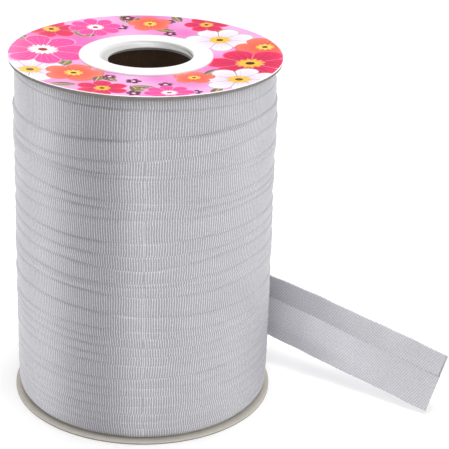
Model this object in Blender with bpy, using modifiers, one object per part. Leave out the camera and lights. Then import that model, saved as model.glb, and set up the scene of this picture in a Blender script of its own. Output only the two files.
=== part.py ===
"""Roll of single-fold bias tape: a card spool, its wound stack of tape and the tape's loose end.

The spool stands on its bottom flange with its axis upright. The origin is on the floor, under
the middle of the whole part's box, so the axis lies left of it by half of the loose end's reach.
"""

import math

import bpy
from mathutils import Vector

MM = 0.001

# Driving sizes, in millimetres
TAPE_WIDTH = 19.05
SPOOL_R = 41.0
SPOOL_H = 110.5
GAP = 0.3

BOARD_T = 0.6
FOOT_T = 0.8
LABEL_T = 0.3
DISH = 1.05
HUB_R = 20.0

BORE_R = 14.3
TUBE_WALL = 1.7
NECK_R = 14.0
NECK_BORE_R = 12.7
NECK_DEPTH = 2.6
COLLAR_T = 0.45
COLLAR_CROWN = 0.1
COLLAR_ROUND = 0.35
THROAT_TAPER = 0.7
THROAT_TAPER_DEPTH = 1.0
MOUTH_ROUND = 0.6

FLANGE_STEPS = 96
TUBE_STEPS = 64
WIND_STEPS = 64

# Heights worked out from the driving sizes
LABEL_RIM_Z = SPOOL_H
BOARD_RIM_Z = LABEL_RIM_Z - LABEL_T - GAP
TAPE_BOTTOM_Z = FOOT_T + GAP
TUBE_OUTER_R = BORE_R + TUBE_WALL

# Each row is one edge of a turn that shows: its height at five bearings from the front,
# the winding's radius on the edge, and the radius where the turn goes under the next one.
EDGE_BEARINGS = (-60.0, -30.0, 0.0, 30.0, 60.0)
EDGES = (
    # left 60, left 30, front, right 30, right 60, edge r, foot r
    (106.3, 106.1, 105.9, 105.2, 104.2, 39.25, 39.20),
    (95.6, 96.0, 97.1, 98.0, 98.6, 40.10, 39.50),
    (89.7, 90.1, 90.9, 92.0, 93.5, 39.95, 39.60),
    (87.2, 86.8, 86.5, 86.8, 86.5, 40.00, 39.75),
    (85.9, 85.5, 85.3, 85.2, 84.5, 39.85, 39.40),
    (79.7, 78.7, 78.1, 78.0, 78.1, 39.80, 39.50),
    (75.3, 76.2, 75.8, 75.6, 75.5, 39.85, 39.50),
    (71.9, 72.6, 72.9, 73.0, 73.6, 39.80, 39.35),
    (65.9, 65.8, 65.6, 66.4, 66.6, 39.85, 39.50),
    (62.1, 61.8, 61.5, 62.2, 62.8, 39.85, 39.50),
    (58.3, 58.0, 57.0, 59.5, 59.8, 39.95, 39.60),
    (53.3, 52.8, 53.0, 53.9, 54.7, 40.05, 39.80),
    (52.3, 51.9, 51.8, 51.8, 52.1, 39.95, 39.65),
    (49.9, 49.6, 48.6, 48.9, 49.6, 40.00, 39.55),
    (43.6, 43.3, 42.3, 41.9, 41.7, 40.15, 39.65),
    (37.2, 37.7, 37.7, 37.1, 36.8, 40.00, 39.75),
    (34.9, 35.0, 35.2, 34.7, 34.1, 39.95, 39.70),
    (32.4, 32.3, 32.1, 31.7, 31.5, 39.95, 39.70),
    (29.5, 29.4, 29.2, 29.0, 28.7, 39.95, 39.70),
    (26.6, 26.6, 26.2, 26.2, 25.9, 40.00, 39.60),
    (21.0, 21.1, 21.8, 22.3, 22.4, 39.95, 39.70),
    (18.4, 18.2, 18.5, 19.2, 19.0, 39.95, 39.70),
    (14.4, 15.2, 15.8, 16.2, 16.0, 39.95, 39.70),
    (11.3, 11.8, 12.5, 13.0, 12.9, 39.95, 39.70),
    (9.2, 9.1, 9.7, 9.9, 9.7, 39.90, 39.65),
    (6.9, 6.7, 7.0, 7.4, 7.5, 39.85, 39.60),
    (4.6, 4.5, 4.7, 4.8, 5.0, 39.70, 39.30),
)
EDGE_LIP = 0.3
SHADED_BAND_R = 38.7
TUCKED_R = 38.2
TUCK_RISE = 1.4

# The winding lies a little flatter where the loose end leaves it. Angles run from +X.
SEAT_ANGLE = 75.0
SEAT_DEPTH = 0.5
SEAT_FULL = 38.0
SEAT_FADE = 30.0

# The loose end: a straight run off the winding's back right, sinking and leaning back
LEAVE_ANGLE = 52.3
LEAVE_Z = 21.4
WRAP_ANGLE = 46.0
WRAP_R = 40.3
RUN_LENGTH = 86.4
SINK = 7.6
STRIP_T = 1.0
FOLD_ROUND = 0.4
SEAM_FROM_EDGE = 0.38
SEAM_HALF = 0.5
SEAM_DEPTH = 0.3
WRAP_STATIONS = 9
RUN_STATIONS = 14

# How far the strip leans back, in degrees, at distances along its run
LEANS = (
    # distance, lean
    (0.0, 0.0),
    (8.0, 4.0),
    (17.3, 14.2),
    (34.6, 24.8),
    (51.9, 30.3),
    (69.2, 30.6),
    (86.4, 25.7),
)


def clear_scene():
    """Remove every object that is already in the scene."""
    for obj in list(bpy.data.objects):
        bpy.data.objects.remove(obj, do_unlink=True)


def new_material(name, hex_colour, roughness, metallic=0.0):
    mat = bpy.data.materials.new(name)
    mat.use_nodes = True
    shader = mat.node_tree.nodes["Principled BSDF"]
    channels = [int(hex_colour[i:i + 2], 16) / 255.0 for i in (0, 2, 4)]
    linear = [c / 12.92 if c <= 0.04045 else ((c + 0.055) / 1.055) ** 2.4 for c in channels]
    shader.inputs["Base Color"].default_value = (*linear, 1.0)
    shader.inputs["Roughness"].default_value = roughness
    shader.inputs["Metallic"].default_value = metallic
    mat.diffuse_color = (*linear, 1.0)
    return mat


def add_object(name, mesh, mat, parts):
    mesh.materials.append(mat)
    obj = bpy.data.objects.new(name, mesh)
    parts.objects.link(obj)
    return obj


def smooth(mesh, angle):
    mesh.shade_smooth()
    mesh.set_sharp_from_angle(angle=math.radians(angle))


def turned(name, profile, steps, mat, parts, axis):
    """Turn a closed profile of (radius, height) points, listed down the outer side first."""
    mesh = bpy.data.meshes.new(name)
    verts = [(r * MM, 0.0, z * MM) for r, z in profile]
    count = len(verts)
    mesh.from_pydata(verts, [(i, (i + 1) % count) for i in range(count)], [])
    obj = add_object(name, mesh, mat, parts)
    obj.parent = axis
    screw = obj.modifiers.new("Turn", "SCREW")
    screw.steps = steps
    screw.render_steps = steps
    screw.use_merge_vertices = True
    screw.merge_threshold = 0.00001
    screw.use_smooth_shade = False
    return obj


def flange_drop(r):
    """How far the dished top flange lies below its rim at radius r."""
    inward = (SPOOL_R - max(r, HUB_R)) / (SPOOL_R - HUB_R)
    return DISH * inward


def smoothstep(x):
    x = min(max(x, 0.0), 1.0)
    return x * x * (3.0 - 2.0 * x)


def seat_drop(angle):
    """How far the winding is pressed in at an angle from +X, where the loose end lies on it."""
    off = abs((angle - SEAT_ANGLE + 180.0) % 360.0 - 180.0)
    return SEAT_DEPTH * (1.0 - smoothstep((off - SEAT_FULL) / SEAT_FADE))


def edge_height(row, bearing):
    """Height of a turn's edge at a bearing from the front, through the row's five heights."""
    heights = row[:len(EDGE_BEARINGS)]
    back = (heights[0] + heights[-1]) / 2.0
    stops = [-180.0, *EDGE_BEARINGS, 180.0, 300.0]
    values = [back, *heights, back, heights[0]]
    before = [heights[-1], *values[:-1]]
    stops_before = [EDGE_BEARINGS[-1] - 360.0, *stops[:-1]]
    for i in range(len(EDGE_BEARINGS) + 1):
        if bearing > stops[i + 1]:
            continue
        span = stops[i + 1] - stops[i]
        t = (bearing - stops[i]) / span
        slope_in = (values[i + 1] - before[i]) / (stops[i + 1] - stops_before[i]) * span
        slope_out = (values[i + 2] - values[i]) / (stops[i + 2] - stops[i]) * span
        h0 = (1.0 + 2.0 * t) * (1.0 - t) ** 2
        h1 = t * (1.0 - t) ** 2
        h2 = t * t * (3.0 - 2.0 * t)
        h3 = t * t * (t - 1.0)
        return h0 * values[i] + h1 * slope_in + h2 * values[i + 1] + h3 * slope_out
    return back


def winding_section(bearing):
    """The winding's outline as (radius, height) points at one bearing, from its top outer edge."""
    under_board = BOARD_RIM_Z - BOARD_T - GAP
    inner_r = TUBE_OUTER_R + GAP
    inset = seat_drop(bearing - 90.0)
    points = [(SHADED_BAND_R - inset, under_board - flange_drop(SHADED_BAND_R))]
    foot = SHADED_BAND_R
    for row in EDGES:
        height = edge_height(row, bearing)
        edge_r, next_foot = row[len(EDGE_BEARINGS):]
        points.append((foot - inset, height + EDGE_LIP))
        points.append((edge_r - inset, height))
        foot = next_foot
    points.append((foot - inset, TAPE_BOTTOM_Z + TUCK_RISE))
    points.append((TUCKED_R - inset, TAPE_BOTTOM_Z))
    points.append((inner_r, TAPE_BOTTOM_Z))
    points.append((inner_r, under_board - flange_drop(inner_r)))
    return points


def wound_tape(mat, parts, axis):
    """The winding: its section changes with the bearing, so the sections are joined in a loop."""
    verts = []
    for step in range(WIND_STEPS):
        bearing = -180.0 + 360.0 * step / WIND_STEPS
        across = math.sin(math.radians(bearing))
        toward = -math.cos(math.radians(bearing))
        for r, z in winding_section(bearing):
            verts.append((r * across * MM, r * toward * MM, z * MM))
    rows = len(verts) // WIND_STEPS
    faces = []
    for step in range(WIND_STEPS):
        here = step * rows
        there = (step + 1) % WIND_STEPS * rows
        for i in range(rows):
            j = (i + 1) % rows
            faces.append((here + i, here + j, there + j, there + i))
    mesh = bpy.data.meshes.new("wound_tape")
    mesh.from_pydata(verts, [], faces)
    obj = add_object("wound_tape", mesh, mat, parts)
    obj.parent = axis
    smooth(mesh, 40.0)
    return obj


def lean_at(distance):
    """How far the strip leans back, in degrees, at a distance along its run."""
    for (s0, lean0), (s1, lean1) in zip(LEANS, LEANS[1:]):
        if distance <= s1:
            return lean0 + (lean1 - lean0) * (distance - s0) / (s1 - s0)
    return LEANS[-1][1]


def strip_frame(distance):
    """Centre, across direction and outward normal of the loose end, from where it leaves."""
    leave = math.radians(LEAVE_ANGLE)
    sink = math.radians(SINK)
    centre = Vector((WRAP_R * math.cos(leave), WRAP_R * math.sin(leave), LEAVE_Z))
    level = Vector((math.sin(leave), -math.cos(leave), 0.0))
    if distance < 0.0:
        turn = leave - distance / WRAP_R
        rise = -distance * math.tan(sink)
        outward = Vector((math.cos(turn), math.sin(turn), 0.0))
        centre = outward * WRAP_R + Vector((0.0, 0.0, LEAVE_Z + rise))
        return centre, Vector((0.0, 0.0, 1.0)), outward
    along = level * math.cos(sink) - Vector((0.0, 0.0, math.sin(sink)))
    outward = Vector((-level.y, level.x, 0.0))
    upright = outward.cross(along)
    if upright.z < 0.0:
        upright = -upright
    lean = math.radians(lean_at(distance))
    across = upright * math.cos(lean) + outward * math.sin(lean)
    normal = outward * math.cos(lean) - upright * math.sin(lean)
    return centre + along * distance, across, normal


def strip_section():
    """The folded strip's outline as (across, through) points, with the seam on its near face."""
    half = TAPE_WIDTH / 2.0
    through = STRIP_T / 2.0
    seam = half - SEAM_FROM_EDGE * TAPE_WIDTH
    near = [
        (-half + FOLD_ROUND, -through),
        (seam - SEAM_HALF, -through),
        (seam, -through + SEAM_DEPTH),
        (seam + SEAM_HALF, -through),
        (half - FOLD_ROUND, -through),
    ]
    far = [(half - FOLD_ROUND, through), (-half + FOLD_ROUND, through)]
    return [(-half, 0.0), *near, (half, 0.0), *far]


def strip_stations():
    """Distances along the strip where its section stands. They are negative on the winding."""
    wrap = math.radians(WRAP_ANGLE) * WRAP_R
    stations = [-wrap * (1.0 - i / WRAP_STATIONS) for i in range(WRAP_STATIONS)]
    stations += [RUN_LENGTH * i / RUN_STATIONS for i in range(RUN_STATIONS + 1)]
    return stations


def loose_end(mat, parts, axis):
    """The tape's free end: its folded section swept round the winding and out along its run."""
    section = strip_section()
    stations = strip_stations()
    count = len(section)
    verts = []
    for distance in stations:
        centre, across, normal = strip_frame(distance)
        for u, v in section:
            verts.append((centre + across * u + normal * v) * MM)
    faces = [tuple(range(count))]
    for k in range(len(stations) - 1):
        for i in range(count):
            j = (i + 1) % count
            faces.append((k * count + i, (k + 1) * count + i, (k + 1) * count + j, k * count + j))
    faces.append(tuple(reversed(range(len(verts) - count, len(verts)))))
    mesh = bpy.data.meshes.new("loose_end")
    mesh.from_pydata(verts, [], faces)
    obj = add_object("loose_end", mesh, mat, parts)
    obj.parent = axis
    smooth(mesh, 30.0)
    return obj


def strip_reach():
    """The furthest that the loose end's tip reaches from the spool's axis, along +X."""
    centre, across, normal = strip_frame(RUN_LENGTH)
    return max((centre + across * u + normal * v).x for u, v in strip_section())


def foot_flange(mat, parts, axis):
    """The flat disc that the spool stands on."""
    profile = [(SPOOL_R, FOOT_T), (SPOOL_R, 0.0), (BORE_R, 0.0), (BORE_R, FOOT_T)]
    return turned("bottom_flange", profile, FLANGE_STEPS, mat, parts, axis)


def tube(mat, parts, axis):
    """The tube that the tape is wound on, between the flanges."""
    top = BOARD_RIM_Z - BOARD_T - DISH - GAP
    foot = FOOT_T + GAP
    profile = [(TUBE_OUTER_R, top), (TUBE_OUTER_R, foot), (BORE_R, foot), (BORE_R, top)]
    return turned("core_tube", profile, TUBE_STEPS, mat, parts, axis)


def dished_disc(name, rim_z, thickness, hole_r, steps, mat, parts, axis):
    """A thin disc that sinks from its rim to the hub, as the top flange and its label do."""
    stops = (SPOOL_R, HUB_R, hole_r)
    under = [(r, rim_z - thickness - flange_drop(r)) for r in stops]
    over = [(r, rim_z - flange_drop(r)) for r in reversed(stops)]
    return turned(name, under + over, steps, mat, parts, axis)


def collar(mat, parts, axis):
    """A flat collar with a rounded rim, and a neck that tapers into the bore."""
    seat = LABEL_RIM_Z - DISH + GAP
    face = seat + COLLAR_T
    crown = face + COLLAR_CROWN
    throat = face - NECK_DEPTH
    profile = [
        (HUB_R - COLLAR_ROUND, face),
        (HUB_R, face - COLLAR_ROUND),
        (HUB_R, seat),
        (NECK_R, seat),
        (NECK_R, throat),
        (NECK_BORE_R, throat),
        (NECK_BORE_R + THROAT_TAPER, face - THROAT_TAPER_DEPTH),
        (NECK_R + COLLAR_CROWN, face - COLLAR_CROWN),
        (NECK_R + MOUTH_ROUND, crown),
        ((NECK_R + HUB_R) / 2.0, crown),
    ]
    return turned("hub_collar", profile, TUBE_STEPS, mat, parts, axis)


def main():
    clear_scene()
    parts = bpy.data.collections.new("roll_of_bias_tape")
    bpy.context.scene.collection.children.link(parts)

    axis = bpy.data.objects.new("spool_axis", None)
    parts.objects.link(axis)
    axis.location.x = (SPOOL_R - strip_reach()) / 2.0 * MM

    card = new_material("card", "CFCAC1", 0.75)
    paperboard = new_material("paperboard", "5A4636", 0.9)
    cloth = new_material("tape_cloth", "C2C2C6", 0.7)
    print_paper = new_material("label_paper", "F5C8EE", 0.45)
    plastic = new_material("collar_plastic", "F8F8F8", 0.3)

    foot_flange(card, parts, axis)
    tube(paperboard, parts, axis)
    wound_tape(cloth, parts, axis)
    dished_disc("top_flange", BOARD_RIM_Z, BOARD_T, BORE_R, FLANGE_STEPS, card, parts, axis)
    dished_disc("label_disc", LABEL_RIM_Z, LABEL_T, BORE_R, FLANGE_STEPS, print_paper, parts, axis)
    collar(plastic, parts, axis)
    loose_end(cloth, parts, axis)


main()
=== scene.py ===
"""Roll of single-fold bias tape on a card spool, dressed over its packed frame.

The frame's pieces set where everything lies. Each operator below makes one piece, or gives a
carried-over piece its finish, and the last one sets the floor, the lights and the camera.
"""

import math

import bpy
import numpy as np
from mathutils import Matrix, Vector


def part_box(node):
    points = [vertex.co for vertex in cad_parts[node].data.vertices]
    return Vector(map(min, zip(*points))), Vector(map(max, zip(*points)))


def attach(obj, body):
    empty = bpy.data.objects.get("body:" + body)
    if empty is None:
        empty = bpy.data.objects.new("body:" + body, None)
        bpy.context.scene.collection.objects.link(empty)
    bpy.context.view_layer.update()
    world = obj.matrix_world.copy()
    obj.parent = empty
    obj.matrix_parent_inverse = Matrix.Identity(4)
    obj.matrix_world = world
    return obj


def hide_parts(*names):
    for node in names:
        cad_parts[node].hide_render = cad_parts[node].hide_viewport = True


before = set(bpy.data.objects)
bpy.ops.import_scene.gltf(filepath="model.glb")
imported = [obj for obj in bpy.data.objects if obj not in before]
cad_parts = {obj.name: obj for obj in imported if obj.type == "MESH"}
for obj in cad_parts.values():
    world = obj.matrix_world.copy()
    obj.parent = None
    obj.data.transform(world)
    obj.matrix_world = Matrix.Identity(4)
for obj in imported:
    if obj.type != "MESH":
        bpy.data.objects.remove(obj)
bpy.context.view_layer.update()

bl_info = {
    "name": "Roll of bias tape",
    "version": (1, 0, 0),
    "blender": (4, 5, 0),
    "location": "3D View > Sidebar > Bias tape",
    "description": "Makes a spool of folded sewing tape with a printed label and a loose end",
    "category": "Add Mesh",
}

MM = 0.001
BODY = "root"

# The spool, in millimetres, from the frame's own pieces
label_low, label_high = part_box("label_disc")
collar_low, collar_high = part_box("hub_collar")
tube_low, tube_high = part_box("core_tube")
AXIS_X = (label_low.x + label_high.x) / 2.0 / MM
SPOOL_R = (label_high.x - label_low.x) / 2.0 / MM
LABEL_RIM_Z = label_high.z / MM
BOARD_RIM_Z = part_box("top_flange")[1].z / MM
FOOT_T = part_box("bottom_flange")[1].z / MM
HUB_R = (collar_high.x - collar_low.x) / 2.0 / MM
CROWN_Z = collar_high.z / MM
TUBE_OUTER_R = (tube_high.x - tube_low.x) / 2.0 / MM

# Sizes that the frame's boxes don't tell
GAP = 0.3
DISH = 1.05
GLUE = 0.02
LABEL_T = 0.2
BOARD_T = 0.6
BORE_R = 14.3
NECK_R = 14.0
TAPE_WIDTH = 19.05
TAPE_BOTTOM_Z = FOOT_T + GAP
UNDER_BOARD_Z = BOARD_RIM_Z - BOARD_T - GAP
ROUND_STEPS = 192

# Each row is one edge of a turn that shows: its height at five bearings from the front,
# the winding's radius on the edge, and the radius where the turn goes under the next one.
EDGE_BEARINGS = (-60.0, -30.0, 0.0, 30.0, 60.0)
EDGES = (
    # left 60, left 30, front, right 30, right 60, edge r, foot r
    (106.3, 106.1, 105.9, 105.2, 104.2, 39.25, 39.20),
    (95.6, 96.0, 97.1, 98.0, 98.6, 40.10, 39.50),
    (89.7, 90.1, 90.9, 92.0, 93.5, 39.95, 39.60),
    (87.2, 86.8, 86.5, 86.8, 86.5, 40.00, 39.75),
    (85.9, 85.5, 85.3, 85.2, 84.5, 39.85, 39.40),
    (79.7, 78.7, 78.1, 78.0, 78.1, 39.80, 39.50),
    (75.3, 76.2, 75.8, 75.6, 75.5, 39.85, 39.50),
    (71.9, 72.6, 72.9, 73.0, 73.6, 39.80, 39.35),
    (65.9, 65.8, 65.6, 66.4, 66.6, 39.85, 39.50),
    (62.1, 61.8, 61.5, 62.2, 62.8, 39.85, 39.50),
    (58.3, 58.0, 57.0, 59.5, 59.8, 39.95, 39.60),
    (53.3, 52.8, 53.0, 53.9, 54.7, 40.05, 39.80),
    (52.3, 51.9, 51.8, 51.8, 52.1, 39.95, 39.65),
    (49.9, 49.6, 48.6, 48.9, 49.6, 40.00, 39.55),
    (43.6, 43.3, 42.3, 41.9, 41.7, 40.15, 39.65),
    (37.2, 37.7, 37.7, 37.1, 36.8, 40.00, 39.75),
    (34.9, 35.0, 35.2, 34.7, 34.1, 39.95, 39.70),
    (32.4, 32.3, 32.1, 31.7, 31.5, 39.95, 39.70),
    (29.5, 29.4, 29.2, 29.0, 28.7, 39.95, 39.70),
    (26.6, 26.6, 26.2, 26.2, 25.9, 40.00, 39.60),
    (21.0, 21.1, 21.8, 22.3, 22.4, 39.95, 39.70),
    (18.4, 18.2, 18.5, 19.2, 19.0, 39.95, 39.70),
    (14.4, 15.2, 15.8, 16.2, 16.0, 39.95, 39.70),
    (11.3, 11.8, 12.5, 13.0, 12.9, 39.95, 39.70),
    (9.2, 9.1, 9.7, 9.9, 9.7, 39.90, 39.65),
    (6.9, 6.7, 7.0, 7.4, 7.5, 39.85, 39.60),
    (4.6, 4.5, 4.7, 4.8, 5.0, 39.70, 39.30),
)

# The loose end's path: round the back of the winding, then a straight run that sinks and leans
LEAVE_ANGLE = 52.3
LEAVE_Z = 21.4
WRAP_ANGLE = 46.0
WRAP_R = 40.3
RUN_LENGTH = 86.4
SINK = 7.6
LEANS = (
    # distance, lean back in degrees
    (0.0, 0.0),
    (8.0, 4.0),
    (17.3, 14.2),
    (34.6, 24.8),
    (51.9, 30.3),
    (69.2, 30.6),
    (86.4, 25.7),
)


def linear(hex_colour):
    """An sRGB hex colour as linear red, green and blue."""
    channels = [int(hex_colour[i:i + 2], 16) / 255.0 for i in (0, 2, 4)]
    return tuple(c / 12.92 if c <= 0.04045 else ((c + 0.055) / 1.055) ** 2.4 for c in channels)


def rgba(colour):
    """A colour with full opacity."""
    return (*colour, 1.0)


def smoothstep(x):
    """A smooth rise from 0 to 1 as x goes from 0 to 1."""
    x = np.clip(x, 0.0, 1.0)
    return x * x * (3.0 - 2.0 * x)


def rise_and_fall(x, start, rise, end, fall):
    """Rises from 0 at start over a width of rise, and falls from 1 at end over a width of fall."""
    return smoothstep((x - start) / rise) * (1.0 - smoothstep((x - end) / fall))


def smooth_curve(stops, values, slopes, x):
    """A smooth curve through the values at the stops, with the given slope at each."""
    i = np.clip(np.searchsorted(stops, x, side="right") - 1, 0, len(stops) - 2)
    span = stops[i + 1] - stops[i]
    t = np.clip((x - stops[i]) / span, 0.0, 1.0)
    here, next_one = (1.0 + 2.0 * t) * (1.0 - t) ** 2, t * t * (3.0 - 2.0 * t)
    leave, arrive = t * (1.0 - t) ** 2 * span, t * t * (t - 1.0) * span
    return here * values[i] + leave * slopes[i] + next_one * values[i + 1] + arrive * slopes[i + 1]


def flange_drop(r):
    """How far the dished top lies below its rim at radius r."""
    return DISH * (SPOOL_R - max(r, HUB_R)) / (SPOOL_R - HUB_R)


# Settings


def length(label, text, default_mm):
    """A length property, given in millimetres."""
    return bpy.props.FloatProperty(
        name=label, description=text, default=default_mm * MM, min=0.0, unit="LENGTH", precision=5
    )


def colour(label, text, default_hex):
    """A colour property, given as sRGB hex."""
    return bpy.props.FloatVectorProperty(
        name=label, description=text, default=linear(default_hex), size=3, subtype="COLOR",
        min=0.0, max=1.0,
    )


class WindingSettings(bpy.types.PropertyGroup):
    """The wound stack of tape."""

    columns: bpy.props.IntProperty(
        name="Columns", description="Faces round the winding", default=240, min=48
    )
    fold: length("Fold", "Radius of the fold along a turn's upper edge", 0.2)
    crease_depth: length("Crease depth", "How far a turn dips in where the next covers it", 0.05)
    crease_reach: length("Crease reach", "Height over which a turn dips in", 0.7)
    wander: length("Wander", "How unevenly the edges run", 0.14)


class ClothSettings(bpy.types.PropertyGroup):
    """The tape's cloth."""

    tint: colour("Cloth", "The yarn's colour", "C5C4C9")
    rib_pitch: length("Rib pitch", "Distance from one rib to the next", 0.76)
    rib_height: length("Rib height", "How high the ribs stand", 0.025)


class LooseEndSettings(bpy.types.PropertyGroup):
    """The strip of tape that leaves the winding."""

    cloth_thickness: length("Cloth", "Thickness of one layer of cloth", 0.28)
    seam_share: bpy.props.FloatProperty(
        name="Seam place", description="Share of the width above the seam", default=0.38,
        min=0.1, max=0.9, subtype="FACTOR",
    )


class LabelSettings(bpy.types.PropertyGroup):
    """The printed label."""

    ground: colour("Ground", "Paler ink of the ground", "EFB4E4")
    ground_deep: colour("Deep ground", "Stronger ink of the ground", "E873BE")
    border: colour("Paper", "The bare paper at the rim", "FBF8FB")


class CardSettings(bpy.types.PropertyGroup):
    """The flanges and the tube."""

    foot: colour("Foot card", "Card of the bottom flange", "C4BFB5")
    board: colour("Top board", "Card under the label", "7A756F")
    tube: colour("Tube", "Paper of the tube", "4A3524")


class CollarSettings(bpy.types.PropertyGroup):
    """The white collar in the bore."""

    plastic: colour("Plastic", "Colour of the moulded plastic", "F6F6F4")
    # The throat's colour is a painted shade on the wall inside the bore
    throat: colour("Throat", "Colour of the worn wall inside", "BCBCBA")


class StageSettings(bpy.types.PropertyGroup):
    """Floor, light and camera."""

    floor: colour("Floor", "The floor's paint", "FAFAFA")
    table_glow: bpy.props.FloatProperty(
        name="Table glow", description="Strength of the light from beneath", default=0.13, min=0.0
    )
    sky: bpy.props.FloatProperty(
        name="Fill light", description="Strength of the even light all round", default=0.1, min=0.0
    )


# Mesh helpers


def select_none():
    """Nothing is selected and no object is active."""
    bpy.ops.object.select_all(action="DESELECT")
    bpy.context.view_layer.objects.active = None


def spun(name, profile, steps):
    """Spins a closed profile of (radius, height) points round the world's axis."""
    select_none()
    bpy.ops.mesh.primitive_circle_add(vertices=len(profile), radius=1.0, fill_type="NOTHING")
    obj = bpy.context.object
    obj.name = obj.data.name = name
    for vertex, (r, z) in zip(obj.data.vertices, profile):
        vertex.co = (r * MM, 0.0, z * MM)
    bpy.ops.object.mode_set(mode="EDIT")
    bpy.ops.mesh.select_all(action="SELECT")
    bpy.ops.mesh.spin(steps=steps, angle=math.tau, center=(0.0, 0.0, 0.0), axis=(0.0, 0.0, 1.0))
    bpy.ops.mesh.select_all(action="SELECT")
    bpy.ops.mesh.remove_doubles(threshold=0.000001)
    bpy.ops.object.mode_set(mode="OBJECT")
    return obj


def read_points(obj):
    """The mesh's points, in millimetres."""
    points = np.empty(len(obj.data.vertices) * 3)
    obj.data.vertices.foreach_get("co", points)
    return points.reshape(-1, 3) / MM


def write_points(obj, points):
    """Moves the mesh's points to places given in millimetres."""
    obj.data.vertices.foreach_set("co", (np.asarray(points) * MM).ravel())
    obj.data.update()


def finish_mesh(obj, sharp=40.0):
    """Points the faces outwards and shades them smooth up to an angle."""
    select_none()
    obj.select_set(True)
    bpy.context.view_layer.objects.active = obj
    bpy.ops.object.mode_set(mode="EDIT")
    bpy.ops.mesh.select_all(action="SELECT")
    bpy.ops.mesh.normals_make_consistent(inside=False)
    bpy.ops.object.mode_set(mode="OBJECT")
    bpy.ops.object.shade_smooth_by_angle(angle=math.radians(sharp))


def onto_axis(obj):
    """Moves a piece made round the world's axis onto the spool's."""
    points = read_points(obj)
    points[:, 0] += AXIS_X
    write_points(obj, points)


def turned(name, profile, steps):
    """A finished round piece on the spool's axis, from its profile."""
    obj = spun(name, profile, steps)
    onto_axis(obj)
    finish_mesh(obj)
    return obj


def arc(centre_r, centre_z, radius, start, end, count):
    """Profile points along an arc, at angles in degrees from the outward direction."""
    angles = [math.radians(start + (end - start) * i / (count - 1)) for i in range(count)]
    return [(centre_r + radius * math.cos(a), centre_z + radius * math.sin(a)) for a in angles]


def apply_modifiers(obj):
    """Applies a piece's modifiers, in their order."""
    select_none()
    obj.select_set(True)
    bpy.context.view_layer.objects.active = obj
    for modifier in list(obj.modifiers):
        bpy.ops.object.modifier_apply(modifier=modifier.name)


def place(obj, slot_name, *nodes):
    """Puts a finished piece on the body and hides the frame's pieces it stands for. slot_name is not
    used.
    """
    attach(obj, BODY)
    if nodes:
        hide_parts(*nodes)


def dress(obj, mat):
    """Gives a piece one material all over."""
    obj.data.materials.clear()
    obj.data.materials.append(mat)


# Node helpers

# Kinds of node that the finishes use most
MATH = "ShaderNodeMath"
VECTOR_MATH = "ShaderNodeVectorMath"
SPLIT_XYZ = "ShaderNodeSeparateXYZ"
NOISE = "ShaderNodeTexNoise"
MAP_RANGE = "ShaderNodeMapRange"
MIX = "ShaderNodeMix"
BUMP = "ShaderNodeBump"

# A Mix node's sockets for colours, by number, because its other sockets have the same names
FACTOR, FIRST, SECOND, MIXED = 0, 6, 7, 2

# Most of a noise texture's values lie between these
NOISE_LOW = 0.3
NOISE_HIGH = 0.7


def feed(tree, node, inputs):
    """Sets a node's inputs, by name or in order, from values, sockets or other nodes."""
    for key, value in inputs.items() if isinstance(inputs, dict) else enumerate(inputs):
        if isinstance(value, bpy.types.Node):
            value = value.outputs[0]
        if isinstance(value, bpy.types.NodeSocket):
            tree.links.new(value, node.inputs[key])
        else:
            node.inputs[key].default_value = value


def add_node(tree, kind, inputs=(), **settings):
    """Adds a node with its settings and feeds its inputs."""
    node = tree.nodes.new(kind)
    for key, value in settings.items():
        setattr(node, key, value)
    feed(tree, node, inputs)
    return node


def new_material(name, **values):
    """A Principled material. Returns the material, its node tree and its shader."""
    mat = bpy.data.materials.new(name)
    mat.use_nodes = True
    tree = mat.node_tree
    shader = tree.nodes["Principled BSDF"]
    feed(tree, shader, {key.replace("_", " "): value for key, value in values.items()})
    return mat, tree, shader


# Finishes

# The cloth's own map, and the points' mark for a turn's folded edge, which gets a painted highlight
WEAVE = "weave"
FOLD_EDGE = "fold_edge"

# The weave, in shares of the rib pitch: a furrow's half width, and what is left for the rib
FURROW = 0.28
RIB_SHARE = 1.0 - FURROW

# Slow noise shifts the ribs by up to BEND_REACH in mm, and broad patches vary the tone. The
# scales are per mm.
BEND_SCALE = 0.33
BEND_REACH = 0.5
PATCH_SCALE = 0.08
PATCH_TONE = 0.03

# The picks that cross the ribs are drawn at 0.7 mm, where the real ones are finer
PICK_PITCH = 0.7

# The yarn's grain: its scale per mm round the spool and up, and how far it varies the colour
GRAIN_SCALE = (1.7, 1.3, 1.0)
GRAIN_TONE = 0.36

# Relief of the picks and of the grain, in rib heights, and how much paler a folded edge is painted, a
# painted highlight
PICK_RELIEF = 0.1
GRAIN_RELIEF = 2.5
EDGE_TONE = 0.07


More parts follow.
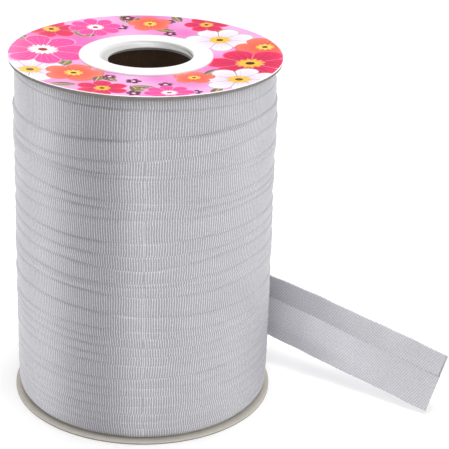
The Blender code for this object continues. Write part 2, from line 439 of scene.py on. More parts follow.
def rib_weave(name, settings, rib_lustre, furrow_lustre, stretch, turn, rib_tone, pick_tone, level):
    """Woven polyester with a fine rib across the tape, calendered to a soft silver sheen.

    The lustres are shares of metal, stretch draws out the gloss, turn is the ribs' angle in
    degrees, the tones are how far ribs and picks change the colour, and level is how light it is.
    """
    # Filament yarn throws light like a bundle of fine rods, so a band of sheen stands upright on
    # the winding. The share of metal gives that lustre, the stretched gloss gives its shape.
    mat, tree, shader = new_material(
        name, Roughness=0.5, IOR=1.55, Anisotropic=stretch, Anisotropic_Rotation=0.25,
    )
    on_tape = add_node(tree, "ShaderNodeUVMap", uv_map=WEAVE)
    on_cloth = add_node(
        tree, "ShaderNodeVectorRotate",
        {"Vector": on_tape, "Angle": math.radians(turn)}, rotation_type="Z_AXIS",
    )
    axes = add_node(tree, SPLIT_XYZ, [on_cloth])
    # The ribs waver a little, as uneven winding makes them
    bend = add_node(tree, NOISE, {"Vector": on_cloth, "Scale": BEND_SCALE, "Detail": 2.0})
    bent = add_node(tree, MATH, [bend, BEND_REACH, axes.outputs["X"]], operation="MULTIPLY_ADD")
    # They are flat bands parted by narrow furrows
    pitch = settings.rib_pitch / MM
    from_furrow = add_node(tree, MATH, [bent, pitch / 2.0], operation="PINGPONG")
    rib = add_node(
        tree, MAP_RANGE,
        {"Value": from_furrow, "From Max": FURROW * pitch}, interpolation_type="SMOOTHSTEP",
    )
    pick_turn = add_node(
        tree, MATH, [axes.outputs["Y"], math.tau / PICK_PITCH], operation="MULTIPLY"
    )
    pick = add_node(tree, MATH, [pick_turn], operation="SINE")
    stretched = add_node(tree, "ShaderNodeMapping", {"Vector": on_cloth, "Scale": GRAIN_SCALE})
    grain = add_node(
        tree, NOISE, {"Vector": stretched, "Scale": 1.0, "Detail": 1.0, "Roughness": 0.5}
    )
    rib_and_pick = add_node(tree, MATH, [pick, PICK_RELIEF, rib], operation="MULTIPLY_ADD")
    relief = add_node(tree, MATH, [grain, GRAIN_RELIEF, rib_and_pick], operation="MULTIPLY_ADD")
    bump = add_node(
        tree, BUMP, {"Height": relief, "Strength": 1.0, "Distance": settings.rib_height}
    )
    along_tape = add_node(tree, "ShaderNodeTangent", direction_type="UV_MAP", uv_map=WEAVE)
    # Calendering polishes the ribs and leaves the furrows matt, so the furrows stay light where
    # the ribs mirror the dark gap between the lights
    lustre = add_node(
        tree, MAP_RANGE, {"Value": rib, "To Min": furrow_lustre, "To Max": rib_lustre}
    )
    # Yarn varies from place to place, and a turn's folded edge is painted a little paler, a painted
    # highlight
    grain_tone = add_node(
        tree, MATH, [grain, GRAIN_TONE, level - GRAIN_TONE / 2.0], operation="MULTIPLY_ADD"
    )
    edge = add_node(tree, "ShaderNodeAttribute", attribute_name=FOLD_EDGE).outputs["Fac"]
    # The fold edge's mark adds a painted highlight to the colour
    highlit_edge = add_node(tree, MATH, [edge, EDGE_TONE, grain_tone], operation="MULTIPLY_ADD")
    # The ribs are darker than the furrows, by as much as the furrows are lighter on the whole
    raised = add_node(tree, MATH, [highlit_edge, RIB_SHARE * rib_tone], operation="ADD")
    crossed = add_node(tree, MATH, [pick, pick_tone, raised], operation="MULTIPLY_ADD")
    ribbed = add_node(tree, MATH, [rib, -rib_tone, crossed], operation="MULTIPLY_ADD")
    patches = add_node(tree, NOISE, {"Vector": on_cloth, "Scale": PATCH_SCALE, "Detail": 3.0})
    patch_shade = add_node(
        tree, MAP_RANGE,
        {"Value": patches, "From Min": NOISE_LOW, "From Max": NOISE_HIGH,
         "To Min": 1.0 - PATCH_TONE, "To Max": 1.0 + PATCH_TONE},
    )
    shade = add_node(tree, MATH, [ribbed, patch_shade], operation="MULTIPLY")
    tint = add_node(
        tree, VECTOR_MATH, {0: tuple(settings.tint), "Scale": shade}, operation="SCALE"
    )
    feed(tree, shader, {
        "Base Color": tint, "Metallic": lustre, "Normal": bump, "Tangent": along_tape,
    })
    return mat


# The collar's mould rings, in millimetres. A wave texture of scale 1 repeats every 0.314 units.
RING_PITCH = 0.6
RING_DEPTH = 0.01
WAVE_LENGTH = 0.314

# Depths below the crown between which the collar's plastic turns from white to the grey of a painted
# shade
THROAT_SHADE_FROM = 0.25
THROAT_SHADE_TO = 1.3


def moulded_plastic(settings):
    """White injection-moulded polystyrene: smooth, with faint rings left by the mould."""
    mat, tree, shader = new_material("moulded polystyrene", Roughness=0.42, IOR=1.59)
    spot = add_node(tree, "ShaderNodeTexCoord").outputs["Object"]
    centred = add_node(tree, VECTOR_MATH, [spot, (-AXIS_X * MM, 0.0, 0.0)], operation="ADD")
    rings = add_node(
        tree, "ShaderNodeTexWave",
        {"Vector": centred, "Scale": WAVE_LENGTH / RING_PITCH / MM, "Distortion": 0.4},
        wave_type="RINGS", rings_direction="Z",
    ).outputs["Fac"]
    bump = add_node(tree, BUMP, {"Height": rings, "Strength": 0.35, "Distance": RING_DEPTH * MM})
    # The throat's wall is painted greyer than the face, a painted shade inside the bore
    height = add_node(tree, SPLIT_XYZ, [spot]).outputs["Z"]
    painted_light = add_node(
        tree, MAP_RANGE,
        {"Value": height, "From Min": (CROWN_Z - THROAT_SHADE_FROM) * MM,
         "From Max": (CROWN_Z - THROAT_SHADE_TO) * MM},
    )
    tint = add_node(
        tree, MIX, {FACTOR: painted_light, FIRST: rgba(settings.plastic), SECOND: rgba(settings.throat)},
        data_type="RGBA",
    ).outputs[MIXED]
    feed(tree, shader, {"Base Color": tint, "Normal": bump})
    return mat


# A card's cut side is painted this share of its colour, partly its own darker tone and partly painted
# shade at the rim, and fades into the face over twice this height
CUT_SHADE = 0.45
CUT_FADE = 0.1


def paper_card(name, tint_colour, fibre_mm, contrast, roughness, cut_below=0.0):
    """Uncoated paperboard: matt, mottled by its fibres, with a darker cut side if it has one, partly
    its own tone and partly painted shade.
    """
    mat, tree, shader = new_material(name, Roughness=roughness, IOR=1.5)
    spot = add_node(tree, "ShaderNodeTexCoord").outputs["Object"]
    fibre = add_node(
        tree, NOISE,
        {"Vector": spot, "Scale": 1.0 / (fibre_mm * MM), "Detail": 4.0, "Roughness": 0.65},
    )
    shade = add_node(
        tree, MAP_RANGE,
        {"Value": fibre, "From Min": NOISE_LOW, "From Max": NOISE_HIGH,
         "To Min": 1.0 - contrast, "To Max": 1.0 + contrast},
    )
    ink = add_node(tree, VECTOR_MATH, {0: tuple(tint_colour), "Scale": shade}, operation="SCALE")
    if cut_below:
        height = add_node(tree, SPLIT_XYZ, [spot]).outputs["Z"]
        top_share = add_node(
            tree, MAP_RANGE,
            {"Value": height, "From Min": (cut_below - CUT_FADE) * MM,
             "From Max": (cut_below + CUT_FADE) * MM},
        )
        # The cut side's darker colour is partly painted shade
        cut = rgba([CUT_SHADE * c for c in tint_colour])
        ink = add_node(
            tree, MIX, {FACTOR: top_share, FIRST: cut, SECOND: ink}, data_type="RGBA"
        ).outputs[MIXED]
    bump = add_node(tree, BUMP, {"Height": fibre, "Strength": 0.4, "Distance": 0.05 * MM})
    feed(tree, shader, {"Base Color": ink, "Normal": bump})
    return mat


# Printed motifs of the label. Each group lays one motif over the colour that it is given.

FLOWER_INPUTS = (
    ("Under", "NodeSocketColor"), ("Place", "NodeSocketVector"), ("Centre", "NodeSocketVector"),
    ("Size", "NodeSocketFloat"), ("Turn", "NodeSocketFloat"), ("Petals", "NodeSocketFloat"),
    ("Waist", "NodeSocketFloat"), ("Petal", "NodeSocketColor"), ("Throat", "NodeSocketColor"),
    ("Vein", "NodeSocketColor"), ("Heart", "NodeSocketColor"), ("Core", "NodeSocketColor"),
)
LEAF_INPUTS = (
    ("Under", "NodeSocketColor"), ("Place", "NodeSocketVector"), ("Centre", "NodeSocketVector"),
    ("Size", "NodeSocketFloat"), ("Turn", "NodeSocketFloat"),
    ("Upper", "NodeSocketColor"), ("Lower", "NodeSocketColor"), ("Rib", "NodeSocketColor"),
)

# How a flower is drawn, in shares of its size. Veins and the heart's points are counted by petal.
PETAL_ROUND = 0.55
THROAT_FADE = 1.3
VEINS = 4.0
VEIN_WIDTH = 0.07
VEIN_END = 0.8
VEIN_INK = 0.55
PARTING_WIDTH = 0.045
RIM_START = 0.95
RIM_INK = 0.6
HEART_POINTS = 2.0
HEART_POINT = 0.13
HEART_R = 0.2
CORE_R = 0.1

# How a leaf is drawn, in shares of its length
LEAF_HALF_WIDTH = 0.2
LEAF_RIB_WIDTH = 0.018
LEAF_VEIN_SLANT = 0.8
LEAF_VEIN_TURN = 40.0
LEAF_VEIN_CREST = 0.8
LEAF_VEIN_INK = 0.35


def new_group(name, inputs):
    """A node group with these inputs and one colour output."""
    group = bpy.data.node_groups.new(name, "ShaderNodeTree")
    for label, kind in inputs:
        group.interface.new_socket(label, in_out="INPUT", socket_type=kind)
    group.interface.new_socket("Colour", in_out="OUTPUT", socket_type="NodeSocketColor")
    return group, group.nodes.new("NodeGroupInput").outputs, group.nodes.new("NodeGroupOutput")


def local_axes(group, given):
    """Place from a motif's centre along its own two axes, in units of its size."""
    off = add_node(group, VECTOR_MATH, [given["Place"], given["Centre"]], operation="SUBTRACT")
    unit = add_node(group, MATH, [1.0, given["Size"]], operation="DIVIDE")
    scaled = add_node(group, VECTOR_MATH, {0: off, "Scale": unit}, operation="SCALE")
    turned_back = add_node(
        group, "ShaderNodeVectorRotate", {"Vector": scaled, "Angle": given["Turn"]},
        rotation_type="Z_AXIS",
    )
    axes = add_node(group, SPLIT_XYZ, [turned_back])
    return axes.outputs["X"], axes.outputs["Y"]


def flower_group():
    """A round flower seen from above, its petals parted by thin lines and veined."""
    group, given, result = new_group("printed flower", FLOWER_INPUTS)
    x, y = local_axes(group, given)
    y_square = add_node(group, MATH, [y, y], operation="MULTIPLY")
    squares = add_node(group, MATH, [x, x, y_square], operation="MULTIPLY_ADD")
    away = add_node(group, MATH, [squares], operation="SQRT")
    angle = add_node(group, MATH, [y, x], operation="ARCTAN2")
    petal_turn = add_node(group, MATH, [angle, given["Petals"]], operation="MULTIPLY")
    half_turn = add_node(group, MATH, [petal_turn, 0.5], operation="MULTIPLY")
    petal_cosine = add_node(group, MATH, [half_turn], operation="COSINE")
    petal_wave = add_node(group, MATH, [petal_cosine], operation="ABSOLUTE")
    # The outline swells from its waist, between petals, to 1 at their tips
    swell = add_node(group, MATH, [petal_wave, PETAL_ROUND], operation="POWER")
    tip = add_node(group, MATH, [1.0, given["Waist"]], operation="SUBTRACT")
    outline = add_node(group, MATH, [swell, tip, given["Waist"]], operation="MULTIPLY_ADD")
    inside = add_node(group, MATH, [away, outline], operation="LESS_THAN")
    reach = add_node(group, MATH, [away, outline], operation="DIVIDE")
    fade = add_node(group, MATH, [reach, THROAT_FADE], operation="POWER")
    body = add_node(
        group, MIX, {FACTOR: fade, FIRST: given["Throat"], SECOND: given["Petal"]},
        data_type="RGBA",
    ).outputs[MIXED]
    # Veins run out from the heart
    vein_turn = add_node(group, MATH, [half_turn, VEINS], operation="MULTIPLY")
    vein_sine = add_node(group, MATH, [vein_turn], operation="SINE")
    vein_wave = add_node(group, MATH, [vein_sine], operation="ABSOLUTE")
    from_vein = add_node(group, MATH, [vein_wave, away], operation="MULTIPLY")
    on_vein = add_node(group, MATH, [from_vein, VEIN_WIDTH], operation="LESS_THAN")
    before_end = add_node(group, MATH, [reach, VEIN_END], operation="LESS_THAN")
    vein = add_node(group, MATH, [on_vein, before_end], operation="MULTIPLY")
    vein_ink = add_node(group, MATH, [vein, VEIN_INK], operation="MULTIPLY")
    veined = add_node(
        group, MIX, {FACTOR: vein_ink, FIRST: body, SECOND: given["Vein"]}, data_type="RGBA"
    ).outputs[MIXED]
    # Thin lines part the petals and follow their rim
    from_parting = add_node(group, MATH, [petal_wave, away], operation="MULTIPLY")
    parting = add_node(group, MATH, [from_parting, PARTING_WIDTH], operation="LESS_THAN")
    rim = add_node(group, MATH, [reach, RIM_START], operation="GREATER_THAN")
    rim_ink = add_node(group, MATH, [rim, RIM_INK], operation="MULTIPLY")
    lines = add_node(group, MATH, [parting, rim_ink], operation="MAXIMUM")
    petals = add_node(
        group, MIX, {FACTOR: lines, FIRST: veined, SECOND: given["Vein"]}, data_type="RGBA"
    ).outputs[MIXED]
    ink = add_node(
        group, MIX, {FACTOR: inside, FIRST: given["Under"], SECOND: petals}, data_type="RGBA"
    ).outputs[MIXED]
    # A star for a heart, with a dark core
    star_turn = add_node(group, MATH, [half_turn, HEART_POINTS], operation="MULTIPLY")
    star_sine = add_node(group, MATH, [star_turn], operation="SINE")
    star_wave = add_node(group, MATH, [star_sine], operation="ABSOLUTE")
    star = add_node(group, MATH, [star_wave, HEART_POINT, HEART_R], operation="MULTIPLY_ADD")
    for limit, tone in ((star, given["Heart"]), (CORE_R, given["Core"])):
        within = add_node(group, MATH, [away, limit], operation="LESS_THAN")
        ink = add_node(
            group, MIX, {FACTOR: within, FIRST: ink, SECOND: tone}, data_type="RGBA"
        ).outputs[MIXED]
    feed(group, result, [ink])
    return group


def leaf_group():
    """A pointed leaf from its stem end, its two halves in two greens beside a pale rib."""
    group, given, result = new_group("printed leaf", LEAF_INPUTS)
    x, y = local_axes(group, given)
    along = add_node(group, MATH, [x, math.pi], operation="MULTIPLY")
    taper = add_node(group, MATH, [along], operation="SINE")
    half_width = add_node(group, MATH, [taper, LEAF_HALF_WIDTH], operation="MULTIPLY")
    from_rib = add_node(group, MATH, [y], operation="ABSOLUTE")
    past_stem = add_node(group, MATH, [x, 0.0], operation="GREATER_THAN")
    before_tip = add_node(group, MATH, [x, 1.0], operation="LESS_THAN")
    between = add_node(group, MATH, [past_stem, before_tip], operation="MULTIPLY")
    within = add_node(group, MATH, [from_rib, half_width], operation="LESS_THAN")
    inside = add_node(group, MATH, [between, within], operation="MULTIPLY")
    upper = add_node(group, MATH, [y, 0.0], operation="GREATER_THAN")
    halves = add_node(
        group, MIX, {FACTOR: upper, FIRST: given["Lower"], SECOND: given["Upper"]},
        data_type="RGBA",
    ).outputs[MIXED]
    # Side veins slant from the rib
    slant = add_node(group, MATH, [from_rib, LEAF_VEIN_SLANT], operation="MULTIPLY")
    slanted = add_node(group, MATH, [x, slant], operation="SUBTRACT")
    vein_turn = add_node(group, MATH, [slanted, LEAF_VEIN_TURN], operation="MULTIPLY")
    vein_wave = add_node(group, MATH, [vein_turn], operation="SINE")
    vein = add_node(group, MATH, [vein_wave, LEAF_VEIN_CREST], operation="GREATER_THAN")
    vein_ink = add_node(group, MATH, [vein, LEAF_VEIN_INK], operation="MULTIPLY")
    on_rib = add_node(group, MATH, [from_rib, LEAF_RIB_WIDTH], operation="LESS_THAN")
    ink = halves
    for share in (vein_ink, on_rib):
        ink = add_node(
            group, MIX, {FACTOR: share, FIRST: ink, SECOND: given["Rib"]}, data_type="RGBA"
        ).outputs[MIXED]
    ink = add_node(
        group, MIX, {FACTOR: inside, FIRST: given["Under"], SECOND: ink}, data_type="RGBA"
    ).outputs[MIXED]
    feed(group, result, [ink])
    return group


# Inks of each kind of flower: petals, waist, petal, throat, vein, heart, core
FLOWER_KINDS = {
    "cosmos": (8, 0.66, "F94FA6", "E93A8E", "FBC4E2", "FFF6FA", "B3242C"),
    "windflower": (7, 0.62, "FDF7FD", "EBD6EC", "9C93A9", "F6C544", "6B4A2B"),
    "primrose": (5, 0.66, "FF8268", "F25A4E", "DE4740", "FFD75E", "5B2B16"),
    "mallow": (6, 0.6, "F0305F", "C81E52", "F77BA0", "FFC143", "4E1E14"),
    "floret": (5, 0.5, "7B2657", "5E1C46", "4A1438", "F9D3E6", "F9D3E6"),
}

# Where the motifs lie on the label. Angles run from the right, seen from above.
FLOWERS = (
    # kind, angle, distance from the axis, size, turn in degrees
    ("floret", 262.0, 25.5, 2.4, 0.0),
    ("floret", 265.0, 38.0, 2.2, 30.0),
    ("floret", 99.0, 38.2, 2.3, 15.0),
    ("floret", 244.0, 23.6, 2.1, 44.0),
    ("floret", 72.0, 24.2, 2.1, 44.0),
    ("floret", 281.0, 29.0, 2.2, 22.0),
    ("floret", 105.0, 29.5, 2.1, 22.0),
    ("floret", 291.0, 38.6, 2.0, 8.0),
    ("floret", 78.0, 35.6, 2.0, 60.0),
    ("windflower", 208.0, 37.5, 11.2, 40.0),
    ("mallow", 141.0, 38.0, 8.6, 20.0),
    ("cosmos", 174.0, 31.0, 14.4, 12.0),
    ("primrose", 222.0, 27.8, 8.8, 5.0),
    ("mallow", 250.0, 35.4, 7.6, 31.0),
    ("windflower", 36.0, 28.0, 11.0, 15.0),
    ("primrose", 13.0, 37.0, 9.2, 33.0),
    ("mallow", 346.0, 31.5, 13.8, 50.0),
    ("windflower", 318.0, 35.5, 11.6, 70.0),
    ("primrose", 303.0, 25.2, 6.2, 12.0),
    ("cosmos", 280.0, 37.4, 7.4, 8.0),
    ("cosmos", 120.0, 32.0, 8.6, 62.0),
    ("primrose", 88.0, 32.5, 7.0, 25.0),
    ("mallow", 59.0, 37.0, 7.2, 0.0),
)
LEAVES = (
    # angle, distance from the axis, length, direction in degrees
    (192.0, 22.5, 9.0, 250.0),
    (194.0, 23.0, 8.0, 215.0),
    (163.0, 38.5, 8.5, 60.0),
    (164.0, 37.0, 8.0, 115.0),
    (238.0, 35.5, 8.5, 185.0),
    (236.0, 24.0, 8.5, 310.0),
    (237.0, 24.0, 7.0, 260.0),
    (262.0, 30.5, 8.0, 345.0),
    (262.0, 30.0, 7.5, 290.0),
    (270.0, 33.5, 6.5, 215.0),
    (304.0, 37.5, 8.0, 250.0),
    (330.0, 25.0, 8.0, 290.0),
    (330.0, 24.5, 8.0, 235.0),
    (0.0, 27.0, 9.0, 75.0),
    (0.0, 27.5, 8.0, 35.0),
    (46.0, 31.0, 8.5, 95.0),
    (46.0, 30.0, 7.5, 55.0),
    (70.0, 27.0, 7.5, 165.0),
    (72.0, 36.0, 8.0, 110.0),
    (101.0, 34.0, 7.5, 100.0),
    (101.0, 33.0, 8.0, 60.0),
    (134.0, 25.0, 8.5, 80.0),
    (135.0, 25.0, 8.0, 130.0),
)


# Inks of a leaf: its upper and lower half, and its rib
LEAF_INKS = (("Upper", "7E8436"), ("Lower", "6A6038"), ("Rib", "F3C9C4"))
FLOWER_INK_NAMES = ("Petal", "Throat", "Vein", "Heart", "Core")

# Width of the bare paper at the label's rim, and the noise values between which its ground passes
# from the paler to the stronger ink
BORDER = 0.22
WASH_LOW = 0.38
WASH_HIGH = 0.62


def add_motif(tree, group, under, here, angle, away, size, turn, inks, **shape):
    """Lays a motif over the ink beneath it, at an angle and a distance from the axis."""
    a = math.radians(angle)
    centre = (away * math.cos(a), away * math.sin(a), 0.0)
    tones = {key: rgba(linear(tone)) for key, tone in inks}
    return add_node(
        tree, "ShaderNodeGroup",
        {"Under": under, "Place": here, "Centre": centre, "Size": size,
         "Turn": -math.radians(turn), **shape, **tones},
        node_tree=group,
    )


def printed_paper(settings):
    """Coated label paper, offset printed: crisp flat inks under a thin gloss varnish."""
    mat, tree, shader = new_material("printed coated paper", Roughness=0.36, IOR=1.5)
    spot = add_node(tree, "ShaderNodeTexCoord").outputs["Object"]
    here = add_node(
        tree, "ShaderNodeMapping",
        {"Vector": spot, "Location": (-AXIS_X, 0.0, 0.0), "Scale": (1 / MM, 1 / MM, 0.0)},
    )
    # The ground passes from pale to strong pink in slow patches, as an airbrushed print does
    cloud = add_node(tree, NOISE, {"Vector": here, "Scale": 0.045, "Detail": 1.0})
    wash = add_node(tree, MAP_RANGE, {"Value": cloud, "From Min": WASH_LOW, "From Max": WASH_HIGH})
    ink = add_node(
        tree, MIX,
        {FACTOR: wash, FIRST: rgba(settings.ground), SECOND: rgba(settings.ground_deep)},
        data_type="RGBA",
    ).outputs[MIXED]
    leaf, flower = leaf_group(), flower_group()
    for angle, away, size, turn in LEAVES:
        ink = add_motif(tree, leaf, ink, here, angle, away, size, turn, LEAF_INKS)
    for kind, angle, away, size, turn in FLOWERS:
        petals, waist, *tones = FLOWER_KINDS[kind]
        inks = zip(FLOWER_INK_NAMES, tones)
        ink = add_motif(
            tree, flower, ink, here, angle, away, size, turn, inks, Petals=petals, Waist=waist
        )
    # Bare paper shows in a thin border at the rim
    away = add_node(tree, VECTOR_MATH, [here], operation="LENGTH").outputs["Value"]
    bare = add_node(tree, MATH, [away, SPOOL_R - BORDER], operation="GREATER_THAN")
    ink = add_node(
        tree, MIX, {FACTOR: bare, FIRST: ink, SECOND: rgba(settings.border)}, data_type="RGBA"
    ).outputs[MIXED]
    tooth = add_node(tree, NOISE, {"Vector": here, "Scale": 1.2, "Detail": 3.0})
    bump = add_node(tree, BUMP, {"Height": tooth, "Strength": 0.15, "Distance": 0.03 * MM})
    feed(tree, shader, {"Base Color": ink, "Normal": bump})
    return mat


# The winding

# Radii and heights are in millimetres. Under the board the first turn shows its shaded side.
SHOULDER_R = 38.2
SHADED_SIDE = ((38.5, 108.7), (38.7, 108.2), (38.8, 107.4))
FIRST_FOOT_R = 38.9

# A fold stands out by its row's step, or LEAST_STEP, times a share that wavers, and by STEP_REST
LEAST_STEP = 0.12
STEP_SHARE = 0.62
STEP_WAVER = 0.22
STEP_REST = 0.07

# A crease reaches over at most this share of what shows of a turn, and is shallower where less
# than this height of the turn shows
CREASE_SHARE = 0.42
DEEP_CREASE_GAP = 1.6

# A fold's outside slopes, so it catches the light from in front: share of the way out to its
# edge, and drop in fold radii. It is painted paler down to PALE_END, a painted highlight, and is a face
# from FOLD_END on.
FOLD_OUTSIDE = ((0.12, 0.0), (0.42, 0.75), (0.74, 1.5), (0.93, 2.4), (1.0, 3.6))
PALE_END = 2.0
FOLD_END = 4.4

# A face is set back from its fold, bulges, and shows the turns beneath where it is high enough
SETBACK = 0.02
FACE_SHARES = (0.33, 0.66)
FACE_BULGE = 0.06
FACE_WAVER = 0.07
FACE_LOBES = (5, 9, 14, 23, 34)
FULL_WAVER_GAP = 3.0


def edge_heights(row, bearings):
    """An edge's height at each bearing, through the row's five heights and round the back."""
    heights = row[:len(EDGE_BEARINGS)]
    back = (heights[0] + heights[-1]) / 2.0
    stops = np.array([-180.0, *EDGE_BEARINGS, 180.0])
    values = np.array([back, *heights, back])
    # The slope at the back looks at the heights to both sides of it
    wide_stops = np.array([EDGE_BEARINGS[-1] - 360.0, *stops, EDGE_BEARINGS[0] + 360.0])
    wide_values = np.array([heights[-1], *values, heights[0]])
    slopes = (wide_values[2:] - wide_values[:-2]) / (wide_stops[2:] - wide_stops[:-2])
    return smooth_curve(stops, values, slopes, bearings)


def ripple(rng, bearings, lobes=(3, 5, 9, 14, 23)):
    """A smooth uneven line round the spool, from about -1 to 1, that meets itself."""
    total = np.zeros_like(bearings)
    for n in lobes:
        total += rng.uniform(0.3, 1.0) / math.sqrt(n) * np.sin(
            np.radians(bearings) * n + rng.uniform(0.0, math.tau)
        )
    return total


def winding_rows(settings, bearings):
    """Radius and height of each ring at each bearing, its turn, and whether its fold edge gets a
    painted highlight.
    """
    rng = np.random.default_rng(7)
    fold, depth, reach = (
        size / MM for size in (settings.fold, settings.crease_depth, settings.crease_reach)
    )
    wander = settings.wander / MM
    one = np.ones_like(bearings)
    radii, heights, turns, painted_light = [], [], [], []

    def ring(r, z, turn, painted_highlight=0.0):
        radii.append(r * one)
        heights.append(z * one)
        turns.append(turn)
        painted_light.append(painted_highlight)

    ring(SHOULDER_R, UNDER_BOARD_Z - flange_drop(SHOULDER_R), 0)
    for r, z in SHADED_SIDE:
        ring(r, z, 0)
    levels = [edge_heights(row, bearings) + wander * ripple(rng, bearings) for row in EDGES]
    levels.append(TAPE_BOTTOM_Z + 1.0 * one)
    above, foot = UNDER_BOARD_Z * one, FIRST_FOOT_R * one
    for i, row in enumerate(EDGES):
        edge_r, next_foot = row[len(EDGE_BEARINGS):]
        level, below = levels[i], levels[i + 1]
        gap_above, gap_below = above - level, level - below
        step = np.maximum(edge_r - foot, LEAST_STEP)
        share_out = STEP_SHARE + STEP_WAVER * ripple(rng, bearings)
        edge = foot + (step * share_out + STEP_REST)
        # The turn above dips into the crease over this fold
        dip = np.minimum(reach, CREASE_SHARE * gap_above)
        crease = foot - depth * np.minimum(1.0, gap_above / DEEP_CREASE_GAP)
        ring(foot, level + dip, i)
        ring(foot - 0.4 * (foot - crease), level + 0.5 * dip, i)
        ring(crease, level + 0.1, i)
        for share, drop in FOLD_OUTSIDE:
            # The upper part of a fold's outside is marked for a painted highlight
            painted_highlight = 1.0 if 0.0 < drop < PALE_END else 0.0
            ring(crease + share * (edge - crease), level - drop * fold, i + 1, painted_highlight)
        # The face runs down to the next crease, with the soft steps of the turns beneath
        top_z = level - FOLD_END * fold
        ring(edge - SETBACK, top_z, i + 1)
        next_r = next_foot * one
        last = i + 1 == len(EDGES)
        end_z = below + (0.0 if last else np.minimum(reach, CREASE_SHARE * gap_below))
        for share in FACE_SHARES:
            waver = FACE_WAVER * ripple(rng, bearings, FACE_LOBES)
            soft = waver * np.minimum(1.0, gap_below / FULL_WAVER_GAP)
            straight = edge - SETBACK + (next_r - edge + SETBACK) * share
            r = straight + FACE_BULGE * math.sin(math.pi * share) + soft
            ring(r, top_z + (end_z - top_z) * share, i + 1)
        above, foot = level, next_r
    # The last turn tucks in over the bottom flange, and the section closes along the tube
    inner_r = TUBE_OUTER_R + GAP
    for r, up in ((foot, 1.6), (foot - 0.35, 0.7), (38.45, 0.15), (38.1, -0.2), (inner_r, -0.2)):
        ring(r, TAPE_BOTTOM_Z + up, len(EDGES))
    ring(inner_r, UNDER_BOARD_Z - flange_drop(inner_r), len(EDGES))
    return np.array(radii), np.array(heights), np.array(turns), np.array(painted_light)


# Where the strip's own piece starts, the last turn stands out by SWELL. It rises over the last
# SWELL_RISE degrees before, and fades into the others over SWELL_FADE from SWELL_HOLD past it.
SWELL = 0.36
SWELL_RISE = 3.0
SWELL_HOLD = 10.0
SWELL_FADE = 80.0

# The strip's seat at the back right is pressed in, to each side of its middle, in degrees
SEAT_DEPTH = 0.5
SEAT_MIDDLE = 75.0
SEAT_HALF = 38.0
SEAT_FADE = 30.0

# How far into the winding its outside goes, and where a seat's edge starts to fade
SKIN = 4.0
SEAT_EDGE = 0.5


def seat_loose_end(bearings, radii, heights):
    """Presses the winding in under the loose end, and swells it where that end is still wound."""
    angle = (bearings - 90.0) % 360.0
    middle = LEAVE_Z + np.radians(angle - LEAVE_ANGLE) * WRAP_R * math.tan(math.radians(SINK))
    across = 1.0 - smoothstep(np.abs(heights - middle) - TAPE_WIDTH / 2.0 + SEAT_EDGE)
    outside = radii > SPOOL_R - SKIN
    past_start = angle - (LEAVE_ANGLE + WRAP_ANGLE)
    covered = rise_and_fall(past_start, -SWELL_RISE, SWELL_RISE, SWELL_HOLD, SWELL_FADE)
    swell = across * covered
    radii = np.where(outside, radii + (WRAP_R + SWELL - radii) * swell, radii)
    seat_off = np.abs((angle - SEAT_MIDDLE + 180.0) % 360.0 - 180.0)
    seat = 1.0 - smoothstep((seat_off - SEAT_HALF) / SEAT_FADE)
    hidden = across * seat * (1.0 - covered)
    return np.where(outside, radii + (WRAP_R - SEAT_DEPTH - radii) * hidden, radii)


# Radius at which the first ring is spun, while a ring's radius still tells its number
FLAT_R = 10.0


def wind_tape(settings):
    """The wound tape: rings spun round the axis, then each moved to its own height and radius."""
    steps = settings.columns
    bearings = (np.arange(steps) * 360.0 / steps + 180.0) % 360.0 - 180.0
    radii, heights, turns, painted_light = winding_rows(settings, bearings)
    radii = seat_loose_end(bearings[None, :], radii, heights)
    # Each ring is first spun flat at its own radius, so its number can be read back
    obj = spun("wound_tape_turns", [(FLAT_R + k, 0.0) for k in range(len(radii))], steps)
    flat = read_points(obj)
    ring = np.rint(np.hypot(flat[:, 0], flat[:, 1]) - FLAT_R).astype(int)
    bearing = np.degrees(np.arctan2(flat[:, 0], -flat[:, 1]))
    column = np.rint((bearing + 180.0) % 360.0 / 360.0 * steps - steps / 2).astype(int) % steps
    r, z = radii[ring, column], heights[ring, column]
    turn = np.radians(bearing)
    write_points(obj, np.stack([r * np.sin(turn) + AXIS_X, -r * np.cos(turn), z], axis=1))
    map_turns(obj, ring, column, turns, heights, steps)
    # The marked fold edges get a painted highlight in the cloth's colour
    edge = obj.data.attributes.new(FOLD_EDGE, "FLOAT", "POINT")
    edge.data.foreach_set("value", painted_light[ring].astype(np.float32))
    finish_mesh(obj, sharp=55.0)
    return obj


def corner_points(obj):
    """The number of the point at each face corner."""
    corner = np.empty(len(obj.data.loops), np.int32)
    obj.data.loops.foreach_get("vertex_index", corner)
    return corner


def lay_weave(obj, along, across):
    """Gives a piece its weave map, from each face corner's millimetres along and across the tape."""
    layer = obj.data.uv_layers.new(name=WEAVE)
    layer.data.foreach_set("uv", np.stack([along, across], axis=-1).astype(np.float32).ravel())


# How far one turn's weave may be shifted from the next one's, in mm, and slanted
TURN_SHIFT = 40.0
TURN_SLANT = 0.05


def map_turns(obj, ring, column, turns, heights, steps):
    """Maps the cloth round the spool and up. Each turn's weave is shifted and slanted a little."""
    rng = np.random.default_rng(11)
    shift = rng.uniform(0.0, TURN_SHIFT, turns.max() + 1)
    slant = rng.uniform(-TURN_SLANT, TURN_SLANT, turns.max() + 1)
    corner = corner_points(obj).reshape(-1, 4)
    rings, columns = ring[corner], column[corner]
    turn = turns[rings.min(axis=1)][:, None]
    up = heights[rings, columns]
    # A face between the last column and the first counts on past the last
    wraps = columns.max(axis=1) - columns.min(axis=1) > steps / 2
    columns = np.where(wraps[:, None] & (columns < steps / 2), columns + steps, columns)
    along = columns / steps * math.tau * (SPOOL_R - 1.0)
    lay_weave(obj, along + shift[turn] + slant[turn] * up, up)


# The loose end

